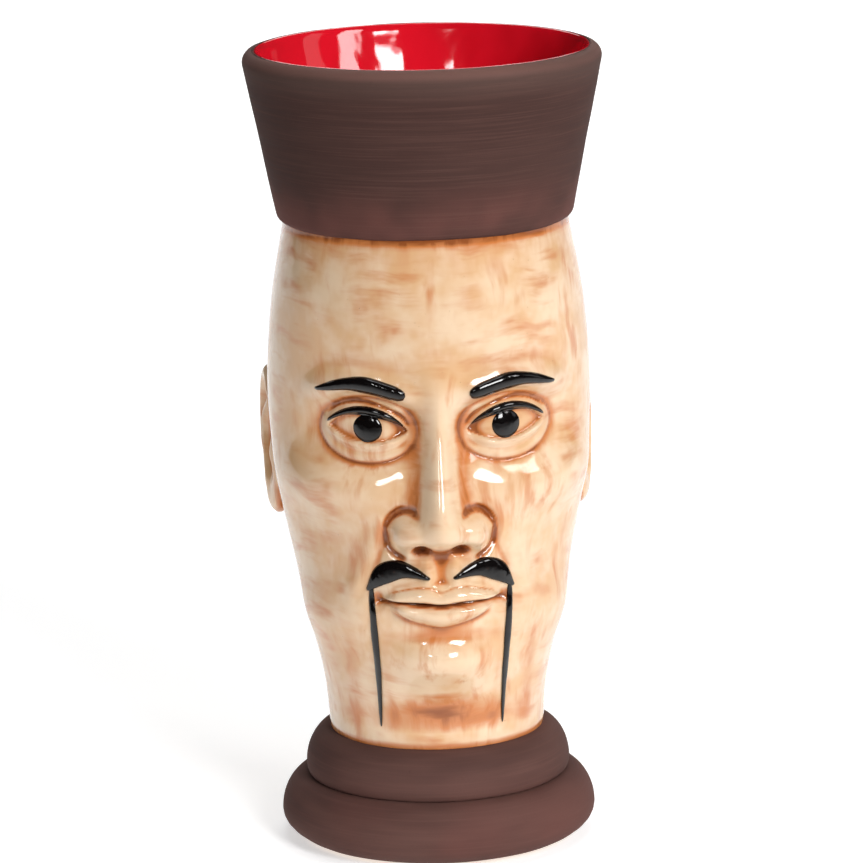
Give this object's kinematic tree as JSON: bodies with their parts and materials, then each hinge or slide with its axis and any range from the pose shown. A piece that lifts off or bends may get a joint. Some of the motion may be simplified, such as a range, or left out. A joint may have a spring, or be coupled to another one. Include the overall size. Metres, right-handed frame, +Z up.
{
  "type": "tiki mug",
  "caption": "Tall hollow ceramic tiki mug: a head in relief with set-back ears under a flared flat-topped hat, on a stepped round plinth, open at the top.",
  "frame": {"origin": "centre of the foot's resting plane", "axes": "+Z up through the mouth, the face looks along -Y, +X towards the object's own left side"},
  "size_m": [0.084, 0.084, 0.19],
  "materials": {
    "brown_slip": "matt brushed slip",
    "cream_glaze": "gloss glaze over an iron-oxide wash",
    "black_glaze": "gloss",
    "red_glaze": "gloss"
  },
  "bodies": {
    "root": {"hat": "brown_slip", "head": "cream_glaze", "plinth_upper_ring": "brown_slip", "plinth_foot": "brown_slip", "glaze_lining": "red_glaze", "ear_left": "cream_glaze", "ear_right": "cream_glaze", "brow_left": "black_glaze", "brow_right": "black_glaze", "lid_line_left": "black_glaze", "lid_line_right": "black_glaze", "pupil_left": "black_glaze", "pupil_right": "black_glaze", "moustache_left": "black_glaze", "moustache_right": "black_glaze", "moustache_strand_left": "black_glaze", "moustache_strand_right": "black_glaze"}
  },
  "joints": []
}
